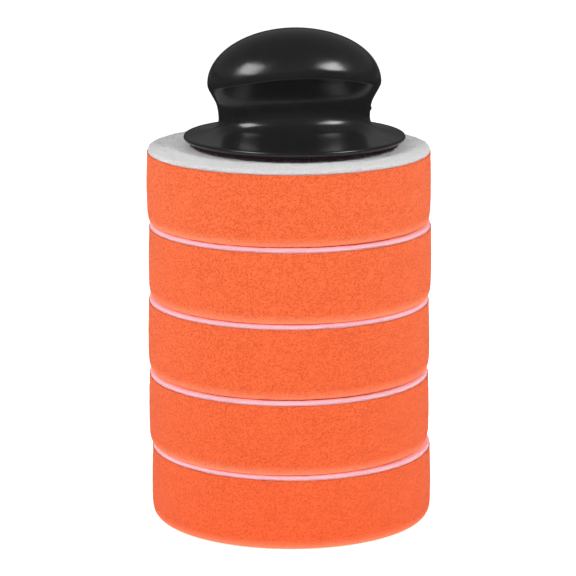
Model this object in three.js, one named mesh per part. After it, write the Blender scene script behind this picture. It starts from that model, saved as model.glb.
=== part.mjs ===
// A hand polishing kit: a stack of flat foam pads, each with a loop backing bonded on top,
// and a moulded palm grip whose hook disc holds the loop face of the uppermost pad.
// Millimetres, +Z up. The origin is the centre of the lowest pad's working face.

import * as THREE from 'three';

// Foam pad
const padCount = 5;
const padRadius = 62.5; // widest, at mid height
const foamHeight = 31;
const foamTopRadius = 62.1; // the cut edge under the loop backing
const foamLowerRadius = 62.2; // where the rounded working edge starts
const workingEdgeInset = 2.2;
const workingEdgeRise = 4;
const bondThickness = 0.25;
const bondRadius = 61.5;
const loopThickness = 2;
const loopRadius = 61.75;

// How far each hand-stacked pad sits off the axis, lowest pad first
const padOffsets = [
  { x: 0.55, y: 0.3 },
  { x: -0.55, y: -0.3 },
  { x: -0.55, y: 0.2 },
  { x: -0.05, y: -0.1 },
  { x: -0.55, y: 0.1 },
];

// Palm grip, with heights above the loop face that it sits on
const gripOffset = { x: 1.9, y: 3 };
const gripTurn = THREE.MathUtils.degToRad(9);
const hookThickness = 2;
const hookRadius = 45;
const adhesiveThickness = 0.25;
const adhesiveRadius = 44.5;
const plateThickness = 1.5;
const plateRadius = 45.4;
const plateClearance = 0.35;
const rimRadius = 48.9;
const domeMiddle = 27.5;
const domeHeight = 24;
const domeHalfWidth = 38.5;
const domeHalfDepth = 28.2;
const lipLift = 22; // degrees up the front of the dome where the finger recess cuts in

// Facets
const discSegments = 48;
const gripSegments = 60;
const edgeSteps = 4;
const domeSteps = 8;

const padPitch = foamHeight + bondThickness + loopThickness;
const stackHeight = padCount * padPitch;
const plateBottom = hookThickness + adhesiveThickness;
const plateTop = plateBottom + plateThickness;

const foamMaterial = new THREE.MeshStandardMaterial({ color: 0xf66b3f, roughness: 0.95, metalness: 0 });
const bondMaterial = new THREE.MeshStandardMaterial({ color: 0xe9c3cf, roughness: 0.6, metalness: 0 });
const loopMaterial = new THREE.MeshStandardMaterial({ color: 0xe6e4e4, roughness: 1, metalness: 0 });
const gripMaterial = new THREE.MeshStandardMaterial({ color: 0x101011, roughness: 0.22, metalness: 0 });
const plateMaterial = new THREE.MeshStandardMaterial({ color: 0x161617, roughness: 0.5, metalness: 0 });
const adhesiveMaterial = new THREE.MeshStandardMaterial({ color: 0xb9b2a2, roughness: 0.4, metalness: 0 });
const hookMaterial = new THREE.MeshStandardMaterial({ color: 0x2a1d20, roughness: 0.9, metalness: 0 });

// Turns an outline of (radius, height) points about +Z. The outline runs upwards and
// starts and ends on the axis.
function turned(outline) {
  const points = outline.map(([radius, height]) => new THREE.Vector2(radius, height));
  const geometry = new THREE.LatheGeometry(points, discSegments);
  geometry.rotateX(Math.PI / 2);
  return geometry;
}

function disc(radius, thickness) {
  return turned([
    [0, 0],
    [radius, 0],
    [radius, thickness],
    [0, thickness],
  ]);
}

// The foam: flat working face, rounded working edge, slightly barrelled wall, sharp top edge
function foamGeometry() {
  const outline = [[0, 0]];
  for (let step = 0; step <= edgeSteps; step += 1) {
    const angle = (step / edgeSteps) * (Math.PI / 2);
    const radius = foamLowerRadius - workingEdgeInset * (1 - Math.sin(angle));
    outline.push([radius, workingEdgeRise * (1 - Math.cos(angle))]);
  }
  outline.push([padRadius, foamHeight * 0.4]);
  outline.push([padRadius, foamHeight * 0.65]);
  outline.push([foamTopRadius, foamHeight]);
  outline.push([0, foamHeight]);
  return turned(outline);
}

// A ring of the grip: its half width and height at the sides, and its half depth and height
// at the front and back.
function ring(halfWidth, sideHeight, halfDepth, frontHeight) {
  return { halfWidth, sideHeight, halfDepth, frontHeight };
}

function roundRing(radius, height) {
  return ring(radius, height, radius, height);
}

// Part of an oval dome, from its top down to the arched lip over the finger recess
function domeRings(halfWidth, halfDepth, height) {
  const rings = [ring(0, domeMiddle + height, 0, domeMiddle + height)];
  for (let step = 1; step <= domeSteps; step += 1) {
    const share = 1 - step / domeSteps;
    const side = THREE.MathUtils.degToRad(90 * share);
    const front = THREE.MathUtils.degToRad(lipLift + (90 - lipLift) * share);
    rings.push(ring(
      halfWidth * Math.cos(side),
      domeMiddle + height * Math.sin(side),
      halfDepth * Math.cos(front),
      domeMiddle + height * Math.sin(front),
    ));
  }
  return rings;
}

// The outside below the lip: finger recess, waist and flared round brim
function bodyRings() {
  return [
    ring(38.3, 26.3, 26.4, 33.0),
    ring(37.7, 24.8, 23.9, 30.1),
    ring(36.7, 23.0, 21.8, 26.4),
    ring(35.6, 21.0, 20.5, 22.5),
    ring(34.5, 18.7, 20.1, 18.3),
    ring(33.85, 15.7, 20.3, 15.6),
    ring(33.6, 13.2, 20.9, 13.5),
    ring(33.6, 11.4, 21.9, 11.8),
    ring(33.9, 9.9, 23.7, 10.0),
    ring(34.8, 8.5, 26.2, 8.1),
    ring(36.8, 7.2, 30.0, 6.7),
    ring(39.8, 6.2, 35.0, 5.9),
    ring(44.0, 5.25, 42.0, 5.2),
    roundRing(47.6, 4.75),
    roundRing(48.5, 4.4),
    roundRing(rimRadius, 3.8),
    roundRing(rimRadius, 3),
    roundRing(48.1, 2.75),
  ];
}

// The underside: the recess for the base plate, then the hollow up into the dome
function hollowRings() {
  const recessRadius = plateRadius + plateClearance;
  const below = [
    roundRing(recessRadius, plateBottom),
    roundRing(recessRadius, plateTop),
    roundRing(42, plateTop),
    ring(36, 4.4, 31, 4.6),
    ring(31.4, 7.5, 22, 7.6),
    ring(31.0, 13, 18.4, 13.4),
    ring(32.0, 19, 17.5, 18.6),
    ring(33.8, 23, 19.0, 26),
    ring(35.6, 26.2, 22.6, 31.6),
  ];
  const wall = 2.5;
  const dome = domeRings(domeHalfWidth - wall, domeHalfDepth - wall, domeHeight - wall);
  return below.concat(dome.reverse());
}

// A ring rises smoothly from its height at the sides to its height at the front and back.
function ringPoint(shape, angle) {
  const rise = Math.sin(angle) ** 2;
  return new THREE.Vector3(
    shape.halfWidth * Math.cos(angle),
    shape.halfDepth * Math.sin(angle),
    shape.sideHeight + (shape.frontHeight - shape.sideHeight) * rise,
  );
}

// Skins a list of rings into one closed mesh. The first and last rings are points on the
// axis, and the list runs down the outside and back up the inside.
function skinned(rings, segments) {
  const positions = [];
  const corner = (level, step) => {
    const angle = ((step % segments) / segments) * 2 * Math.PI;
    const point = ringPoint(rings[level], angle);
    positions.push(point.x, point.y, point.z);
  };
  for (let level = 0; level < rings.length - 1; level += 1) {
    for (let step = 0; step < segments; step += 1) {
      if (level < rings.length - 2) {
        corner(level, step);
        corner(level + 1, step);
        corner(level + 1, step + 1);
      }
      if (level > 0) {
        corner(level, step);
        corner(level + 1, step + 1);
        corner(level, step + 1);
      }
    }
  }
  const geometry = new THREE.BufferGeometry();
  geometry.setAttribute('position', new THREE.Float32BufferAttribute(positions, 3));
  return geometry;
}

function gripShellGeometry() {
  const dome = domeRings(domeHalfWidth, domeHalfDepth, domeHeight);
  return skinned(dome.concat(bodyRings(), hollowRings()), gripSegments);
}

function addPiece(group, name, geometry, material, height) {
  const mesh = new THREE.Mesh(geometry, material);
  mesh.name = name;
  mesh.position.z = height;
  group.add(mesh);
}

function pad(number) {
  const group = new THREE.Group();
  const name = `pad_${number}`;
  addPiece(group, `${name}_foam`, foamGeometry(), foamMaterial, 0);
  addPiece(group, `${name}_bond_film`, disc(bondRadius, bondThickness), bondMaterial, foamHeight);
  const loopBottom = foamHeight + bondThickness;
  addPiece(group, `${name}_loop_backing`, disc(loopRadius, loopThickness), loopMaterial, loopBottom);
  return group;
}

function handGrip() {
  const group = new THREE.Group();
  addPiece(group, 'grip_shell', gripShellGeometry(), gripMaterial, 0);
  addPiece(group, 'base_plate', disc(plateRadius, plateThickness), plateMaterial, plateBottom);
  addPiece(group, 'hook_adhesive', disc(adhesiveRadius, adhesiveThickness), adhesiveMaterial, hookThickness);
  addPiece(group, 'hook_disc', disc(hookRadius, hookThickness), hookMaterial, 0);
  return group;
}

const kit = new THREE.Group();
padOffsets.forEach((offset, index) => {
  const stackedPad = pad(index + 1);
  stackedPad.position.set(offset.x, offset.y, index * padPitch);
  kit.add(stackedPad);
});

const grip = handGrip();
grip.position.set(gripOffset.x, gripOffset.y, stackHeight);
grip.rotation.z = gripTurn;
kit.add(grip);

export default kit;
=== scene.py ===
"""Looks for a stack of foam polishing pads with a moulded palm grip on top.

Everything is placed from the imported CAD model, in metres.
"""

import math

import bpy
import numpy as np
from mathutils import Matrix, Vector


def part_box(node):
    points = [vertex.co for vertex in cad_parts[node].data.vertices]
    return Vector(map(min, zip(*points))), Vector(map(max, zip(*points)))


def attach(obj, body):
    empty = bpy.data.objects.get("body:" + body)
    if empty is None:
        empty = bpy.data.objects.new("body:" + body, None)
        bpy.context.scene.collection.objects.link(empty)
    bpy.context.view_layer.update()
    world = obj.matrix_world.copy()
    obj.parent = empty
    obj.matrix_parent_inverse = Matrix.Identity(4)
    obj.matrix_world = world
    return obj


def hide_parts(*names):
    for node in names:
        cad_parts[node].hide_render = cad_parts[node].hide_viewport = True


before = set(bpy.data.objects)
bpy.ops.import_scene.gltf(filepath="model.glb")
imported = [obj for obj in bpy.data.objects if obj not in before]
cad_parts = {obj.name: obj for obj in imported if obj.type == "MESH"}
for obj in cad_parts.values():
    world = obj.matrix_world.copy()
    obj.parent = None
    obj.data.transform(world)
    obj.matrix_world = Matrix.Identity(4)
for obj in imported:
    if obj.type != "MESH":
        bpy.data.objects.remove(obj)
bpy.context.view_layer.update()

MM = 0.001
PAD_COUNT = 5
PAD_PITCH = 33.25 * MM
SEED = 7

# The grip, in millimetres, with heights above the loop face of the top pad
GRIP_TURN = math.radians(9)
GRIP_WALL = 2.5
PLATE_BOTTOM = 2.25
PLATE_TOP = 3.75
DOME_MIDDLE = 27.5
DOME_HEIGHT = 24.0
DOME_HALF_WIDTH = 38.5
DOME_HALF_DEPTH = 28.2
LIP_LIFT = 22.0


# ---------------------------------------------------------------- mesh helpers


def object_from(name, points, faces, smooth=True):
    """A linked mesh object from points in metres and lists of vertex indices."""
    mesh = bpy.data.meshes.new(name)
    mesh.from_pydata(points.tolist(), [], faces)
    mesh.validate()
    if smooth:
        mesh.shade_smooth()
    mesh.update()
    obj = bpy.data.objects.new(name, mesh)
    bpy.context.scene.collection.objects.link(obj)
    return obj


def lattice_noise(points, cell, seed):
    """Smooth noise from -1 to 1 at points in metres, with features about one cell across."""
    scaled = np.asarray(points, float) / cell
    base = np.floor(scaled).astype(np.int64)
    part = scaled - base
    part = part * part * (3 - 2 * part)
    total = np.zeros(len(scaled))
    for corner in range(8):
        step = np.array([corner & 1, corner >> 1 & 1, corner >> 2 & 1])
        cells = base + step
        key = cells[:, 0] * 73856093 ^ cells[:, 1] * 19349663 ^ cells[:, 2] * 83492791
        key = (key ^ seed * 2654435761) & 0xFFFFFFFF
        key = (key ^ key >> 13) * 1274126177 & 0xFFFFFFFF
        value = (key ^ key >> 16 & 0xFFFF) % 65536 / 32767.5 - 1
        weight = np.where(step == 1, part, 1 - part).prod(axis=1)
        total += value * weight
    return total


def turned(name, outline, segments, centre, roughen=None):
    """Turns an outline of (radius, height) in metres about the vertical line through centre.
    The outline starts and ends on the axis. roughen moves the points before the mesh is made."""
    outline = np.array(outline, float)
    inner = outline[1:-1]
    angles = np.arange(segments) * (2 * math.pi / segments)
    around = np.stack([np.cos(angles), np.sin(angles)], axis=1)
    rings = np.empty((len(inner), segments, 3))
    rings[:, :, :2] = inner[:, None, :1] * around[None]
    rings[:, :, 2] = inner[:, None, 1]
    ends = np.array([[0, 0, outline[0, 1]], [0, 0, outline[-1, 1]]])
    points = np.concatenate([rings.reshape(-1, 3), ends])
    if roughen is not None:
        points = roughen(points)
    points = points + np.array([centre[0], centre[1], 0])
    return object_from(name, points, ring_faces(len(inner), segments))


def ring_faces(levels, segments):
    """Faces of a closed skin over rings whose two end points follow the last ring. The rings
    run from the bottom upwards on the outside."""
    index = np.arange(levels * segments).reshape(levels, segments)
    after = np.roll(index, -1, axis=1)
    quads = np.stack([index[:-1], after[:-1], after[1:], index[1:]], axis=-1)
    faces = quads.reshape(-1, 4).tolist()
    first, last = levels * segments, levels * segments + 1
    faces += [[first, int(b), int(a)] for a, b in zip(index[0], after[0])]
    faces += [[last, int(a), int(b)] for a, b in zip(index[-1], after[-1])]
    return faces


def fibres(name, roots, middles, tips, radius, steps=4, sides=3):
    """Fine closed fibres, each a bent spindle from its root through its middle to its tip."""
    count = len(roots)
    share = np.linspace(0, 1, steps + 1)[None, :, None]
    line = (
        (1 - share) ** 2 * roots[:, None]
        + 2 * share * (1 - share) * middles[:, None]
        + share**2 * tips[:, None]
    )
    along = np.gradient(line, axis=1)
    along /= np.linalg.norm(along, axis=2, keepdims=True) + 1e-12
    up = np.array([0.31, 0.17, 0.93])
    across = np.cross(along, up)
    across /= np.linalg.norm(across, axis=2, keepdims=True) + 1e-12
    other = np.cross(along, across)
    turn = np.arange(sides) * (2 * math.pi / sides)
    body = line[:, 1:-1, None]
    offset = (
        across[:, 1:-1, None] * np.cos(turn)[None, None, :, None]
        + other[:, 1:-1, None] * np.sin(turn)[None, None, :, None]
    )
    rings = body + offset * np.asarray(radius).reshape(-1, 1, 1, 1)
    each = (steps - 1) * sides + 2
    points = np.concatenate([rings.reshape(count, -1, 3), line[:, :1], line[:, -1:]], axis=1)
    pattern = []
    for level in range(steps - 2):
        for side in range(sides):
            a = level * sides + side
            b = level * sides + (side + 1) % sides
            pattern.append([a, b, b + sides, a + sides])
    caps = []
    top = (steps - 2) * sides
    for side in range(sides):
        after = (side + 1) % sides
        caps.append([each - 2, after, side])
        caps.append([each - 1, top + side, top + after])
    starts = (np.arange(count) * each)[:, None, None]
    faces = (starts + np.array(pattern)[None]).reshape(-1, 4).tolist()
    faces += (starts + np.array(caps)[None]).reshape(-1, 3).tolist()
    return object_from(name, points.reshape(-1, 3), faces)


def give(piece, material, body):
    piece.data.materials.clear()
    piece.data.materials.append(material)
    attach(piece, body)
    return piece


# ---------------------------------------------------------------- material helpers


class Shader:
    """A small wrapper round a node tree, so that a material reads as a list of steps."""

    def __init__(self, name):
        self.material = bpy.data.materials.new(name)
        self.material.use_nodes = True
        self.tree = self.material.node_tree
        self.principled = self.tree.nodes["Principled BSDF"]
        self.place = self.tree.nodes.new("ShaderNodeTexCoord").outputs["Object"]

    def add(self, kind, **settings):
        node = self.tree.nodes.new(kind)
        for key, value in settings.items():
            setattr(node, key, value)
        return node

    def join(self, output, socket):
        self.tree.links.new(output, socket)

    def noise(self, size, detail=2.0, roughness=0.5, stretch=None):
        node = self.add("ShaderNodeTexNoise")
        node.inputs["Scale"].default_value = 1 / size
        node.inputs["Detail"].default_value = detail
        node.inputs["Roughness"].default_value = roughness
        self.join(self.stretched(stretch), node.inputs["Vector"])
        return node.outputs["Fac"]

    def cells(self, size, feature="F1", stretch=None):
        node = self.add("ShaderNodeTexVoronoi", feature=feature)
        node.inputs["Scale"].default_value = 1 / size
        self.join(self.stretched(stretch), node.inputs["Vector"])
        return node.outputs["Distance"]

    def stretched(self, stretch):
        if stretch is None:
            return self.place
        node = self.add("ShaderNodeMapping")
        node.inputs["Scale"].default_value = stretch
        self.join(self.place, node.inputs["Vector"])
        return node.outputs["Vector"]

    def ramp(self, value, *stops):
        """Colours or greys at positions from 0 to 1."""
        node = self.add("ShaderNodeValToRGB")
        elements = node.color_ramp.elements
        while len(elements) < len(stops):
            elements.new(0.5)
        for element, (position, colour) in zip(elements, stops):
            element.position = position
            if isinstance(colour, (int, float)):
                colour = (colour, colour, colour)
            element.color = (*colour, 1)
        self.join(value, node.inputs["Fac"])
        return node.outputs["Color"]

    def mix(self, share, first, second, blend="MIX"):
        node = self.add("ShaderNodeMix", data_type="RGBA", blend_type=blend)
        for value, socket in ((share, 0), (first, 6), (second, 7)):
            if isinstance(value, (int, float)):
                node.inputs[socket].default_value = value
            elif isinstance(value, tuple):
                node.inputs[socket].default_value = (*value, 1)
            else:
                self.join(value, node.inputs[socket])
        return node.outputs[2]

    def math(self, operation, first, second=0.0):
        node = self.add("ShaderNodeMath", operation=operation)
        for value, socket in ((first, 0), (second, 1)):
            if isinstance(value, (int, float)):
                node.inputs[socket].default_value = value
            else:
                self.join(value, node.inputs[socket])
        return node.outputs[0]

    def span(self, value, low, high, out_low, out_high):
        node = self.add("ShaderNodeMapRange")
        self.join(value, node.inputs["Value"])
        for name, number in (
            ("From Min", low),
            ("From Max", high),
            ("To Min", out_low),
            ("To Max", out_high),
        ):
            node.inputs[name].default_value = number
        return node.outputs["Result"]

    def reach(self):
        """Distance from the axis of the stack."""
        flat = self.add("ShaderNodeVectorMath", operation="MULTIPLY")
        flat.inputs[1].default_value = (1, 1, 0)
        self.join(self.place, flat.inputs[0])
        length = self.add("ShaderNodeVectorMath", operation="LENGTH")
        self.join(flat.outputs["Vector"], length.inputs[0])
        return length.outputs["Value"]

    def height(self):
        split = self.add("ShaderNodeSeparateXYZ")
        self.join(self.place, split.inputs[0])
        return split.outputs["Z"]

    def height_in_pad(self):
        """Height above the working face of the pad that a point of the stack belongs to."""
        return self.math("MODULO", self.math("ADD", self.height(), 0.0001), PAD_PITCH)

    def bump(self, height, distance, strength=1.0, before=None):
        node = self.add("ShaderNodeBump")
        node.inputs["Distance"].default_value = distance
        node.inputs["Strength"].default_value = strength
        self.join(height, node.inputs["Height"])
        if before is not None:
            self.join(before, node.inputs["Normal"])
        return node.outputs["Normal"]

    def set(self, name, value):
        socket = self.principled.inputs[name]
        if isinstance(value, bpy.types.NodeSocket):
            self.join(value, socket)
        elif isinstance(value, tuple):
            socket.default_value = (*value, 1)
        else:
            socket.default_value = value


# ---------------------------------------------------------------- materials


def foam_material():
    """Open-cell polyurethane: dark pores between paler struts. The lower edge is painted paler and
    given a little emission, painted light that stands for the light real foam scatters through a thin edge."""
    s = Shader("foam")
    pores = s.cells(0.82 * MM)
    fine = s.cells(0.5 * MM)
    cloud = s.noise(9 * MM, detail=3)
    grain = s.noise(0.75 * MM, detail=3, roughness=0.6)
    open_cell = s.ramp(pores, (0.05, 0.0), (0.62, 1.0))
    body = s.mix(cloud, (0.84, 0.118, 0.031), (0.89, 0.146, 0.042))
    body = s.mix(s.span(grain, 0.35, 0.65, 0, 0.45), body, (0.96, 0.22, 0.085))
    hole = s.math("MULTIPLY", s.math("SUBTRACT", 1.0, open_cell), s.span(grain, 0.3, 0.7, 0.95, 0.45))
    body = s.mix(hole, body, (0.63, 0.05, 0.01))
    # painted shade: the foam is painted darker and a deeper orange lower down the stack, where less light
    # reaches it
    body = s.mix(s.span(s.height(), 0, 150 * MM, 0.5, 0), body, (0.74, 0.078, 0.016))
    # painted light: the outer lower edge of each pad is painted paler orange and made to glow, for light
    # bounced up from the loop below
    glow = s.span(s.height_in_pad(), 0, 4.5 * MM, 1, 0)
    glow = s.math("MULTIPLY", glow, s.span(s.reach(), 59.5 * MM, 61 * MM, 0, 1))
    body = s.mix(s.math("MULTIPLY", glow, 0.5), body, (1.0, 0.36, 0.2))
    s.set("Base Color", body)
    s.set("Emission Color", (1.0, 0.26, 0.13))
    s.set("Emission Strength", s.math("MULTIPLY", s.math("POWER", glow, 5.0), 0.6))
    s.set("Roughness", s.span(grain, 0.3, 0.7, 0.86, 0.98))
    s.set("Specular IOR Level", 0.15)
    s.set("Sheen Weight", 0.12)
    s.set("Sheen Roughness", 0.6)
    s.set("Sheen Tint", (1.0, 0.62, 0.42))
    coarse = s.bump(open_cell, 0.4 * MM, 0.9)
    s.set("Normal", s.bump(fine, 0.16 * MM, 0.6, before=coarse))
    return s.material


def loop_material():
    """Brushed white loop fabric."""
    s = Shader("loop_fabric")
    nap = s.noise(0.9 * MM, detail=4, roughness=0.65)
    tufts = s.cells(1.5 * MM)
    cloud = s.noise(7 * MM, detail=3)
    colour = s.mix(s.span(nap, 0.3, 0.7, 0, 1), (0.6, 0.597, 0.6), (0.79, 0.786, 0.79))
    colour = s.mix(s.span(cloud, 0.35, 0.65, 0, 0.25), colour, (0.72, 0.715, 0.72))
    colour = s.mix(s.ramp(tufts, (0.05, 0.0), (0.6, 0.18)), colour, (0.56, 0.555, 0.56))
    s.set("Base Color", colour)
    s.set("Roughness", 0.95)
    s.set("Specular IOR Level", 0.15)
    s.set("Sheen Weight", 0.35)
    s.set("Sheen Roughness", 0.5)
    soft = s.bump(nap, 0.5 * MM, 0.8)
    s.set("Normal", s.bump(tufts, 0.35 * MM, 0.45, before=soft))
    return s.material


def loop_edge_material():
    """The cut edge of a loop fabric, painted pink: partly the fabric's own lavender tint, mostly a painted
    reflection of the orange foam above and below it. Towards its top it is painted orange and given a
    little emission, painted light that stands for the light that comes through the foam."""
    s = Shader("loop_edge")
    nap = s.noise(0.7 * MM, detail=4, roughness=0.65)
    colour = s.mix(s.span(nap, 0.3, 0.7, 0, 1), (0.86, 0.46, 0.57), (0.96, 0.58, 0.68))
    # painted light: the top of the edge band is painted orange and made to glow
    upper = s.span(s.height_in_pad(), 32.1 * MM, 33.0 * MM, 0, 0.75)
    s.set("Base Color", s.mix(upper, colour, (0.93, 0.26, 0.22)))
    s.set("Emission Color", (1.0, 0.4, 0.38))
    s.set("Emission Strength", s.math("MULTIPLY", upper, 0.3))
    s.set("Roughness", 0.95)
    s.set("Specular IOR Level", 0.15)
    s.set("Sheen Weight", 0.2)
    s.set("Normal", s.bump(nap, 0.4 * MM, 0.8))
    return s.material


def fibre_material(name, first, second):
    """Nylon fibres of the loop fabric."""
    s = Shader(name)
    s.set("Base Color", s.mix(s.noise(4 * MM), first, second))
    s.set("Roughness", s.span(s.noise(2 * MM), 0.3, 0.7, 0.5, 0.7))
    s.set("Sheen Weight", 0.2)
    return s.material


def bond_material():
    """A thin melted film of foam and backing."""
    s = Shader("bond_film")
    blot = s.noise(2.2 * MM, detail=3)
    s.set("Base Color", s.mix(blot, (0.85, 0.42, 0.36), (0.93, 0.66, 0.68)))
    s.set("Roughness", s.span(blot, 0.3, 0.7, 0.45, 0.75))
    s.set("Normal", s.bump(blot, 0.2 * MM, 0.6))
    return s.material


def grip_material():
    """Glossy black moulded plastic with a faint flow pattern and light wear."""
    s = Shader("grip_plastic")
    flow = s.noise(14 * MM, detail=2, stretch=(1.0, 1.0, 0.45))
    peel = s.noise(1.6 * MM, detail=2)
    haze = s.noise(6 * MM, detail=4)
    s.set("Base Color", s.mix(haze, (0.0105, 0.0105, 0.011), (0.0135, 0.0135, 0.014)))
    s.set("Roughness", s.span(haze, 0.3, 0.7, 0.17, 0.25))
    s.set("Specular IOR Level", 0.5)
    s.set("IOR", 1.52)
    slow = s.bump(flow, 0.6 * MM, 0.12)
    s.set("Normal", s.bump(peel, 0.05 * MM, 0.12, before=slow))
    return s.material


def plate_material():
    """Satin black moulded disc with a fine grain."""
    s = Shader("plate_plastic")
    grain = s.noise(0.5 * MM, detail=3)
    s.set("Base Color", s.mix(grain, (0.008, 0.008, 0.009), (0.014, 0.014, 0.015)))
    s.set("Roughness", s.span(grain, 0.3, 0.7, 0.42, 0.6))
    s.set("Normal", s.bump(grain, 0.08 * MM, 0.5))
    return s.material


def adhesive_material():
    """Amber pressure-sensitive film."""
    s = Shader("adhesive")
    blot = s.noise(3 * MM, detail=3)
    s.set("Base Color", s.mix(blot, (0.3, 0.24, 0.16), (0.42, 0.35, 0.25)))
    s.set("Roughness", s.span(blot, 0.3, 0.7, 0.3, 0.5))
    s.set("Normal", s.bump(blot, 0.1 * MM, 0.5))
    return s.material


def hook_material(name, dark, light):
    """Maroon-black nylon of the hook fabric."""
    s = Shader(name)
    weave = s.noise(0.45 * MM, detail=3)
    s.set("Base Color", s.mix(s.span(weave, 0.3, 0.7, 0, 1), dark, light))
    s.set("Roughness", s.span(weave, 0.3, 0.7, 0.45, 0.75))
    s.set("Sheen Weight", 0.15)
    s.set("Normal", s.bump(weave, 0.2 * MM, 0.6))
    return s.material


# ---------------------------------------------------------------- pads


def arc(centre, radius, start, end, steps):
    """Points of an arc in an outline, from one angle to another in degrees."""
    angles = np.radians(np.linspace(start, end, steps))
    return [(centre[0] + radius * math.cos(a), centre[1] + radius * math.sin(a)) for a in angles]


def straight(start, end, steps):
    return [tuple(p) for p in np.linspace(start, end, steps)[1:-1]]


def bulged_disc(radius, bottom, top, bulge):
    """Outline of a thin film whose edge is pressed out in the middle of its height."""
    return [(0, bottom), (radius, bottom), (radius + bulge, (bottom + top) / 2), (radius, top), (0, top)]


def node_disc(node):
    """Centre, radius, bottom and top of a round CAD node."""
    low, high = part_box(node)
    centre = ((low.x + high.x) / 2, (low.y + high.y) / 2)
    return centre, (high.x - low.x) / 2, low.z, high.z


def make_foam(number, material):
    node = f"pad_{number}_foam"
    centre, radius, bottom, top = node_disc(node)
    height = top - bottom
    inset, edge = 2.2 * MM, 4.0 * MM
    wall = radius - 0.15 * MM
    outline = [(0, bottom)]
    outline += straight((0, bottom), (wall - inset, bottom), 46)
    for across, up in arc((0, 0), 1, -90, 0, 12):
        outline.append((wall - inset * (1 - across), bottom + edge * (1 + up)))
    climb = np.linspace(0, 1, 50)[1:]
    for share in climb:
        z = bottom + edge + (height - edge) * share
        swell = 0.3 * MM * math.sin(math.pi * min(1.0, 0.12 + share)) ** 0.8
        outline.append((wall + max(swell, 0.0), z))
    rim = outline[-1][0]
    outline += [(rim - 0.15 * MM, top)]
    outline += straight((rim - 0.15 * MM, top), (0, top), 10)
    outline += [(0, top)]

    def roughen(points):
        shift = np.array([0, 0, number * 0.31])
        reach = np.hypot(points[:, 0], points[:, 1])
        outward = points.copy()
        outward[:, 2] = 0
        outward /= np.maximum(reach, 1e-9)[:, None]
        slow = 0.22 * MM * lattice_noise(points + shift, 17 * MM, SEED + number)
        cells = 0.07 * MM * lattice_noise(points + shift, 1.5 * MM, SEED * 3 + number)
        tiny = 0.05 * MM * lattice_noise(points + shift, 0.8 * MM, SEED * 5 + number)
        near_wall = np.clip((reach - (wall - inset)) / inset, 0, 1)
        moved = points + outward * ((slow + cells + tiny) * near_wall)[:, None]
        inside = (points[:, 2] > bottom + 1e-6) & (points[:, 2] < top - 1e-6)
        under = points[:, 2] <= bottom + 1e-6
        moved[under, 2] += np.abs(cells + tiny)[under] * 0.8
        moved[inside, 2] += (cells * 0.5)[inside]
        moved[:, 2] = np.clip(moved[:, 2], bottom, top)
        return moved

    foam = turned(f"pad_{number}_foam_body", outline, 640, centre, roughen)
    give(foam, material, f"pad_{number}")
    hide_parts(node)
    return foam


def make_bond(number, material):
    node = f"pad_{number}_bond_film"
    centre, radius, bottom, top = node_disc(node)
    outline = bulged_disc(radius, bottom, top, 0.5 * MM)

    def roughen(points):
        wave = 0.15 * MM * lattice_noise(points, 2.4 * MM, SEED * 11 + number)
        reach = np.maximum(np.hypot(points[:, 0], points[:, 1]), 1e-9)
        moved = points.copy()
        moved[:, :2] *= (1 + wave / reach)[:, None]
        return moved

    film = turned(f"pad_{number}_bond", outline, 360, centre, roughen)
    give(film, material, f"pad_{number}")
    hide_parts(node)
    return film


def make_loop_cloth(number, faces_material, edge_material):
    node = f"pad_{number}_loop_backing"
    centre, radius, bottom, top = node_disc(node)
    crown = top - 0.3 * MM
    round_edge = 0.5 * MM
    # the edge material, with its painted pink and painted glow, reaches this far in over the top face to
    # light the shaded gap under the foam above
    edge_width = 2.5 * MM
    outline = [(0, bottom)]
    outline += straight((0, bottom), (radius, bottom), 6)
    outline += [(radius, bottom), (radius + 0.05 * MM, bottom + 0.5 * MM)]
    outline += arc((radius - round_edge, crown - round_edge), round_edge, 0, 90, 6)
    outline += straight((radius - round_edge, crown), (0, crown), 76)
    outline += [(0, crown)]

    def roughen(points):
        reach = np.maximum(np.hypot(points[:, 0], points[:, 1]), 1e-9)
        nap = 0.14 * MM * lattice_noise(points, 1.3 * MM, SEED * 13 + number)
        nap += 0.10 * MM * lattice_noise(points, 3.4 * MM, SEED * 17 + number)
        edge = 0.18 * MM * lattice_noise(points, 1.1 * MM, SEED * 19 + number)
        moved = points.copy()
        upper = points[:, 2] > crown - 0.2 * MM
        moved[upper, 2] += nap[upper]
        outer = reach > radius - 0.8 * MM
        moved[outer, :2] *= (1 + edge[outer] / reach[outer])[:, None]
        return moved

    cloth = turned(f"pad_{number}_loop_cloth", outline, 512, centre, roughen)
    give(cloth, faces_material, f"pad_{number}")
    cloth.data.materials.append(edge_material)
    for polygon in cloth.data.polygons:
        place = polygon.center
        if math.hypot(place.x - centre[0], place.y - centre[1]) > radius - edge_width:
            polygon.material_index = 1
    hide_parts(node)
    return cloth


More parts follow.
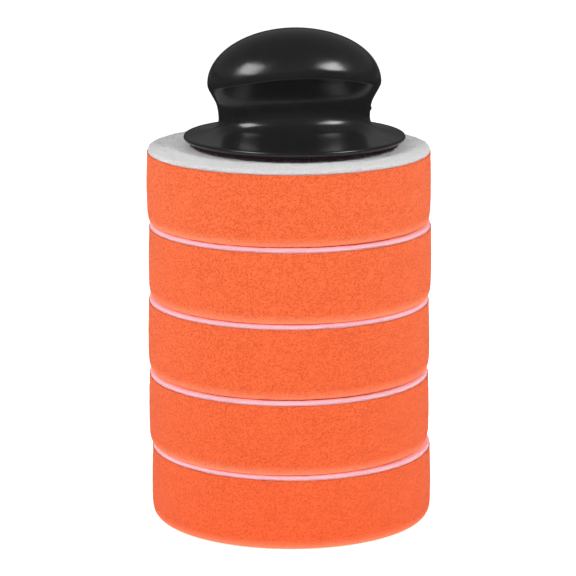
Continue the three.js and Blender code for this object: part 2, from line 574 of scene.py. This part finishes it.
def make_loop_fibres(number, material):
    node = f"pad_{number}_loop_backing"
    centre, radius, bottom, top = node_disc(node)
    dice = np.random.default_rng(SEED * 100 + number)
    count = 7500
    reach = np.sqrt(dice.random(count)) * (radius - 0.3 * MM)
    around = dice.random(count) * 2 * math.pi
    root_height = np.full(count, top - 0.42 * MM)
    roots = np.stack([reach * np.cos(around), reach * np.sin(around), root_height], axis=1)
    heading = dice.random(count) * 2 * math.pi
    length = dice.uniform(1.0, 2.6, count) * MM
    run = np.stack([np.cos(heading) * length, np.sin(heading) * length, np.zeros(count)], axis=1)
    tips = roots + run
    far = np.hypot(tips[:, 0], tips[:, 1]) > radius
    tips[far] = (roots - run)[far]
    middles = (roots + tips) / 2
    middles[:, :2] += dice.normal(0, 0.35 * MM, (count, 2))
    middles[:, 2] += dice.uniform(0.25, 0.85, count) * MM

    rim = 3300
    turn = dice.random(rim) * 2 * math.pi
    outward = np.stack([np.cos(turn), np.sin(turn), np.zeros(rim)], axis=1)
    sideways = np.stack([-np.sin(turn), np.cos(turn), np.zeros(rim)], axis=1)
    level = dice.uniform(0.25, 0.95, rim)[:, None] * (top - 0.35 * MM - bottom)
    start = outward * (radius - 0.25 * MM) + np.array([0, 0, 1]) * (bottom + level)
    drift = dice.normal(0, 0.9 * MM, rim)[:, None]
    rise = dice.normal(0.0, 0.3 * MM, rim)[:, None]
    end = start + outward * dice.uniform(-0.05, 0.45, rim)[:, None] * MM + sideways * drift
    end = end + np.array([0, 0, 1]) * rise
    bow = (start + end) / 2 + outward * dice.uniform(0.15, 0.55, rim)[:, None] * MM

    roots = np.concatenate([roots, start])
    tips = np.concatenate([tips, end])
    middles = np.concatenate([middles, bow])
    for points in (roots, tips, middles):
        points[:, 2] = np.clip(points[:, 2], bottom + 0.1 * MM, top + 0.12 * MM)
        points[:, 0] += centre[0]
        points[:, 1] += centre[1]
    thick = dice.uniform(0.03, 0.055, len(roots)) * MM
    pile = fibres(f"pad_{number}_loop_fibres", roots, middles, tips, thick)
    give(pile, material, f"pad_{number}")
    return pile


def make_pads():
    foam = foam_material()
    bond = bond_material()
    loop = loop_material()
    pink_edge = loop_edge_material()
    white_fibre = fibre_material("loop_fibre", (0.68, 0.675, 0.68), (0.82, 0.815, 0.82))
    # painted reflection: the same loop fibres painted pink for the orange light bounced from the foams
    # around the lower pads
    pink_fibre = fibre_material("loop_fibre_painted_foam_bounce", (0.88, 0.56, 0.64), (0.93, 0.68, 0.75))
    for number in range(1, PAD_COUNT + 1):
        top_pad = number == PAD_COUNT
        make_foam(number, foam)
        make_bond(number, bond)
        # below the top pad the cloth's edge and fibres take the pink copies with painted reflection and
        # painted glow
        cloth = make_loop_cloth(number, loop, loop if top_pad else pink_edge)
        make_loop_fibres(number, white_fibre if top_pad else pink_fibre)


# ---------------------------------------------------------------- grip


def through(points, steps):
    """A smooth Catmull-Rom curve through rows of numbers."""
    points = np.array(points, float)
    padded = np.concatenate([[2 * points[0] - points[1]], points, [2 * points[-1] - points[-2]]])
    out = []
    for i in range(len(points) - 1):
        a, b, c, d = padded[i : i + 4]
        for t in np.linspace(0, 1, steps, endpoint=False):
            out.append(
                0.5
                * (
                    2 * b
                    + (c - a) * t
                    + (2 * a - 5 * b + 4 * c - d) * t**2
                    + (3 * b - a - 3 * c + d) * t**3
                )
            )
    out.append(points[-1])
    return np.array(out)


def dome_rows(half_width, half_depth, height, steps):
    """Rows of half width, side height, half depth and front height down the dome to its lip."""
    rows = []
    for step in range(1, steps + 1):
        share = 1 - step / steps
        side = math.radians(90 * share)
        front = math.radians(LIP_LIFT + (90 - LIP_LIFT) * share)
        rows.append(
            (
                half_width * math.cos(side),
                DOME_MIDDLE + height * math.sin(side),
                half_depth * math.cos(front),
                DOME_MIDDLE + height * math.sin(front),
            )
        )
    return rows


def waist_rows():
    """The finger recess, the waist and the brim's top, from the lip down to the rim."""
    band = [dome_rows(DOME_HALF_WIDTH, DOME_HALF_DEPTH, DOME_HEIGHT, 40)[-1], (38.3, 26.3, 26.4, 33.0)]
    below = [
        (38.3, 26.3, 26.4, 33.0),
        (37.7, 24.8, 23.9, 30.1),
        (36.7, 23.0, 21.8, 26.4),
        (35.6, 21.0, 20.5, 22.5),
        (34.5, 18.7, 20.1, 18.3),
        (33.85, 15.7, 20.3, 15.6),
        (33.6, 13.2, 20.9, 13.5),
        (33.6, 11.4, 21.9, 11.8),
        (33.9, 9.9, 23.7, 10.0),
        (34.8, 8.5, 26.2, 8.1),
        (36.8, 7.2, 30.0, 6.7),
        (39.8, 6.2, 35.0, 5.9),
        (44.0, 5.25, 42.0, 5.2),
        (47.2, 4.75, 47.2, 4.75),
    ]
    return np.concatenate([through(band, 8)[1:], through(below, 9)[1:]])


def round_row(radius, height):
    return (radius, height, radius, height)


def rim_rows():
    """The rounded rim with its flat underside."""
    top_round = arc((47.9, 3.7), 1.0, 85, 0, 8)
    low_round = arc((47.9, 3.6), 1.0, 0, -90, 8)
    return [round_row(r, h) for r, h in top_round + low_round]


def hollow_rows():
    """The recess for the base plate and the hollow above it."""
    rows = [
        round_row(45.85, PLATE_BOTTOM),
        round_row(45.75, PLATE_BOTTOM + 0.1),
        round_row(45.75, PLATE_TOP),
        round_row(42, PLATE_TOP),
        (36, 4.4, 31, 4.6),
        (31.4, 7.5, 22, 7.6),
        (31.0, 13, 18.4, 13.4),
        (32.0, 19, 17.5, 18.6),
        (33.8, 23, 19.0, 26),
        (35.6, 26.2, 22.6, 31.6),
    ]
    dome = dome_rows(DOME_HALF_WIDTH - GRIP_WALL, DOME_HALF_DEPTH - GRIP_WALL, DOME_HEIGHT - GRIP_WALL, 10)
    return rows + dome[::-1]


def softened(rows, passes):
    """Rounds the creases of a list of rows a little, without moving its ends."""
    rows = np.array(rows, float)
    for _ in range(passes):
        rows[1:-1] = 0.25 * rows[:-2] + 0.5 * rows[1:-1] + 0.25 * rows[2:]
    return rows


def grip_angles():
    """Even angles round the grip, with extra ones beside the two mould parting lines."""
    even = np.arange(280) * (2 * math.pi / 280)
    near = np.array([-0.022, -0.014, -0.008, -0.004, 0.004, 0.008, 0.014, 0.022]) * 0.75
    return np.unique(np.round(np.concatenate([even, near % (2 * math.pi), near + math.pi]), 6))


def make_grip_shell(material):
    low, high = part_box("grip_shell")
    centre = np.array([(low.x + high.x) / 2, (low.y + high.y) / 2, low.z - PLATE_BOTTOM * MM])
    outside = dome_rows(DOME_HALF_WIDTH, DOME_HALF_DEPTH, DOME_HEIGHT, 56)
    outside = softened(np.concatenate([outside, waist_rows()]), 3)
    rows = np.concatenate([outside, rim_rows(), hollow_rows()])
    angles = grip_angles()
    rise = np.sin(angles) ** 2
    rings = np.empty((len(rows), len(angles), 3))
    rings[:, :, 0] = rows[:, None, 0] * np.cos(angles)
    rings[:, :, 1] = rows[:, None, 2] * np.sin(angles)
    rings[:, :, 2] = rows[:, None, 1] + (rows[:, None, 3] - rows[:, None, 1]) * rise
    outer = len(outside)
    normals = ring_normals(rings)[:outer]
    seam = 0.14 * np.exp(-((rings[:outer, :, 1] / 0.16) ** 2))
    seam *= np.clip((rings[:outer, :, 2] - 7) / 4, 0, 1)
    gate = 0.6 * np.exp(-((rings[:outer, :, 1] / 0.7) ** 4) - ((rings[:outer, :, 2] - 15.2) / 1.0) ** 4)
    gate *= rings[:outer, :, 0] > 0
    rings[:outer] += normals * (seam + gate)[:, :, None]
    top = [0, 0, DOME_MIDDLE + DOME_HEIGHT]
    inner_top = [0, 0, DOME_MIDDLE + DOME_HEIGHT - GRIP_WALL]
    points = np.concatenate([rings.reshape(-1, 3), [top, inner_top]])
    points = turned_about_axis(points) * MM + centre
    faces = [face[::-1] for face in ring_faces(len(rows), len(angles))]
    shell = object_from("palm_grip", points, faces)
    give(shell, material, "hand_grip")
    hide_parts("grip_shell")
    return shell


def turned_about_axis(points):
    cos, sin = math.cos(GRIP_TURN), math.sin(GRIP_TURN)
    x, y = points[:, 0].copy(), points[:, 1].copy()
    return np.stack([x * cos - y * sin, x * sin + y * cos, points[:, 2]], axis=1)


def ring_normals(rings):
    """Outward normals of a grid of rings that runs down the outside."""
    down = np.gradient(rings, axis=0)
    around = np.roll(rings, -1, axis=1) - np.roll(rings, 1, axis=1)
    normals = np.cross(down, around)
    return normals / (np.linalg.norm(normals, axis=2, keepdims=True) + 1e-9)


def make_plate(material):
    centre, radius, bottom, top = node_disc("base_plate")
    chamfer = 0.25 * MM
    outline = [(0, bottom)]
    outline += straight((0, bottom), (radius - chamfer, bottom), 8)
    outline += [(radius - chamfer, bottom), (radius, bottom + chamfer), (radius, top - chamfer)]
    outline += [(radius - chamfer, top)]
    outline += straight((radius - chamfer, top), (0, top), 8)
    outline += [(0, top)]
    plate = turned("grip_base_plate", outline, 360, centre)
    give(plate, material, "hand_grip")
    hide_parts("base_plate")
    return plate


def make_adhesive(material):
    centre, radius, bottom, top = node_disc("hook_adhesive")
    outline = bulged_disc(radius, bottom, top, 0.1 * MM)
    film = turned("hook_adhesive_film", outline, 300, centre)
    give(film, material, "hand_grip")
    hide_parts("hook_adhesive")
    return film


def make_hook_disc(base_material, bristle_material):
    centre, radius, bottom, top = node_disc("hook_disc")
    base_bottom = top - 0.75 * MM
    outline = [(0, base_bottom)]
    outline += straight((0, base_bottom), (radius, base_bottom), 60)
    outline += [(radius, base_bottom), (radius, top)]
    outline += straight((radius, top), (0, top), 8)
    outline += [(0, top)]

    def roughen(points):
        moved = points.copy()
        under = points[:, 2] < base_bottom + 1e-7
        moved[under, 2] += 0.06 * MM * lattice_noise(points[under], 0.9 * MM, SEED * 23)
        reach = np.maximum(np.hypot(points[:, 0], points[:, 1]), 1e-9)
        edge = np.where(reach > radius - 0.5 * MM, 0.2 * MM, 0) * lattice_noise(points, 1.2 * MM, SEED * 29)
        moved[:, :2] *= (1 + edge / reach)[:, None]
        return moved

    base = turned("hook_fabric_base", outline, 400, centre, roughen)
    give(base, base_material, "hand_grip")
    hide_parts("hook_disc")

    dice = np.random.default_rng(SEED * 31)
    pitch = 1.35 * MM
    grid = np.arange(-radius, radius, pitch)
    x, y = np.meshgrid(grid, grid)
    x = (x + (np.arange(len(grid))[:, None] % 2) * pitch / 2).ravel()
    y = y.ravel()
    inside = np.hypot(x, y) < radius - 0.4 * MM
    x, y = x[inside], y[inside]
    count = len(x)
    x = x + dice.normal(0, 0.12 * MM, count)
    y = y + dice.normal(0, 0.12 * MM, count)
    roots = np.stack([x, y, np.full(count, base_bottom + 0.05 * MM)], axis=1)
    lean = dice.choice([-1.0, 1.0], count) * dice.uniform(0.35, 0.6, count) * MM
    tips = roots + np.stack([lean, dice.normal(0, 0.1 * MM, count), np.full(count, -0.55 * MM)], axis=1)
    middles = roots + np.stack([lean * 0.1, np.zeros(count), np.full(count, -2.1 * MM)], axis=1)

    rim = 2600
    turn = dice.random(rim) * 2 * math.pi
    outward = np.stack([np.cos(turn), np.sin(turn), np.zeros(rim)], axis=1)
    sideways = np.stack([-np.sin(turn), np.cos(turn), np.zeros(rim)], axis=1)
    start = outward * (radius - dice.uniform(0.1, 0.9, rim)[:, None] * MM)
    start[:, 2] = base_bottom + 0.1 * MM
    tuft = 0.5 + 0.5 * lattice_noise(start, 2.2 * MM, SEED * 37)
    fall = dice.uniform(0.7, 1.35, rim) * (0.75 + 0.45 * tuft)
    drop = np.stack([np.zeros(rim), np.zeros(rim), -fall * MM], axis=1)
    end = start + drop + sideways * dice.normal(0, 0.45 * MM, rim)[:, None]
    end = end + outward * (dice.normal(0.45, 0.4, rim) + 0.8 * tuft)[:, None] * MM
    bow = (start + end) / 2 + outward * dice.uniform(0.0, 0.4, rim)[:, None] * MM

    roots = np.concatenate([roots, start])
    middles = np.concatenate([middles, bow])
    tips = np.concatenate([tips, end])
    for points in (roots, middles, tips):
        points[:, 0] += centre[0]
        points[:, 1] += centre[1]
    thick = np.concatenate([np.full(count, 0.1), dice.uniform(0.1, 0.17, rim)]) * MM
    hooks = fibres("hook_bristles", roots, middles, tips, thick, steps=6)
    give(hooks, bristle_material, "hand_grip")
    return hooks


def make_grip():
    make_grip_shell(grip_material())
    make_plate(plate_material())
    make_adhesive(adhesive_material())
    # base and bristles are the same maroon nylon in two shades: the bristles are painted paler, painted
    # light for the front light that the rim keeps off them
    make_hook_disc(
        hook_material("hook_base", (0.016, 0.009, 0.011), (0.045, 0.02, 0.027)),
        hook_material("hook_bristle", (0.06, 0.021, 0.031), (0.21, 0.082, 0.112)),
    )


# ---------------------------------------------------------------- studio


def make_camera():
    data = bpy.data.cameras.new("camera")
    data.sensor_width = 36
    data.lens = 172.8
    data.clip_start = 0.05
    data.clip_end = 30
    camera = bpy.data.objects.new("camera", data)
    camera.location = (-0.00095, -1.2, 0.3726)
    camera.rotation_euler = (math.radians(90 - 12.71), 0, 0)
    bpy.context.scene.collection.objects.link(camera)
    bpy.context.scene.camera = camera


def make_light(name, place, aim, size, radiance, colour=(1, 1, 1)):
    data = bpy.data.lights.new(name, "AREA")
    data.shape = "RECTANGLE"
    data.size, data.size_y = size
    data.energy = radiance * math.pi * size[0] * size[1]
    data.color = colour
    light = bpy.data.objects.new(name, data)
    light.location = place
    light.rotation_euler = (Vector(aim) - Vector(place)).to_track_quat("-Z", "Y").to_euler()
    bpy.context.scene.collection.objects.link(light)
    return light


def make_floor():
    segments = 96
    angles = np.arange(segments) * (2 * math.pi / segments)
    points = np.stack([1.1 * np.cos(angles), 0.25 + 1.1 * np.sin(angles), np.zeros(segments)], axis=1)
    floor = object_from("floor", points, [list(range(segments))], smooth=False)
    floor.location.z = -0.0002
    s = Shader("studio_floor")
    s.set("Base Color", (0.93, 0.93, 0.93))
    s.set("Roughness", 0.8)
    s.set("Specular IOR Level", 0.1)
    s.set("Emission Color", (1.0, 1.0, 1.0))
    s.set("Emission Strength", 0.6)
    floor.data.materials.append(s.material)
    floor.visible_glossy = False


def make_world():
    """White to the camera, an even glow on matte surfaces, and a dim room in reflections."""
    world = bpy.data.worlds.new("studio")
    bpy.context.scene.world = world
    world.use_nodes = True
    tree = world.node_tree
    tree.nodes.clear()
    output = tree.nodes.new("ShaderNodeOutputWorld")
    white, glow, room = (tree.nodes.new("ShaderNodeBackground") for _ in range(3))
    white.inputs["Color"].default_value = (1, 1, 1, 1)
    white.inputs["Strength"].default_value = 1.1
    glow.inputs["Color"].default_value = (1, 1, 1, 1)
    glow.inputs["Strength"].default_value = 0.33
    rays = tree.nodes.new("ShaderNodeLightPath")
    place = tree.nodes.new("ShaderNodeTexCoord")
    split = tree.nodes.new("ShaderNodeSeparateXYZ")
    height = tree.nodes.new("ShaderNodeMapRange")
    height.inputs["From Min"].default_value = -0.2
    ramp = tree.nodes.new("ShaderNodeValToRGB")
    stops = ((0.08, 0.03), (0.15, 0.12), (0.22, 0.1), (0.3, 0.05), (0.42, 0.2), (0.79, 0.14), (0.96, 0.07))
    while len(ramp.color_ramp.elements) < len(stops):
        ramp.color_ramp.elements.new(0.5)
    for element, (position, grey) in zip(ramp.color_ramp.elements, stops):
        element.position = position
        element.color = (grey, grey, grey, 1)
    tree.links.new(place.outputs["Generated"], split.inputs[0])
    tree.links.new(split.outputs["Z"], height.inputs["Value"])
    tree.links.new(height.outputs["Result"], ramp.inputs["Fac"])
    tree.links.new(ramp.outputs["Color"], room.inputs["Color"])
    matte = tree.nodes.new("ShaderNodeMixShader")
    tree.links.new(rays.outputs["Is Glossy Ray"], matte.inputs[0])
    tree.links.new(glow.outputs[0], matte.inputs[1])
    tree.links.new(room.outputs[0], matte.inputs[2])
    choose = tree.nodes.new("ShaderNodeMixShader")
    tree.links.new(rays.outputs["Is Camera Ray"], choose.inputs[0])
    tree.links.new(matte.outputs[0], choose.inputs[1])
    tree.links.new(white.outputs[0], choose.inputs[2])
    tree.links.new(choose.outputs[0], output.inputs["Surface"])


def make_studio():
    make_camera()
    make_world()
    make_floor()
    grip = (0.0, 0.0, 0.19)
    make_light("softbox_left", (-0.787, -0.571, 0.98), grip, (0.5, 0.52), 9.5)
    make_light("softbox_right", (0.85, -0.471, 0.98), grip, (0.42, 0.42), 12.5)
    fill = make_light("front_fill", (0.0, -1.7, 0.9), (0, 0, 0.1), (1.2, 0.5), 0.7)
    side_left = make_light("side_fill_left", (-1.1, -0.35, 0.95), (0, 0, 0.12), (0.6, 0.6), 2.1)
    side_right = make_light("side_fill_right", (1.1, -0.35, 0.95), (0, 0, 0.12), (0.6, 0.6), 2.1)
    back = make_light("back_fill", (0.0, 1.6, 0.9), (0, 0, 0.1), (1.2, 0.6), 0.8)
    for light in (fill, side_left, side_right, back):
        light.visible_glossy = False


bpy.context.scene.view_settings.view_transform = "Standard"
make_studio()
make_pads()
make_grip()
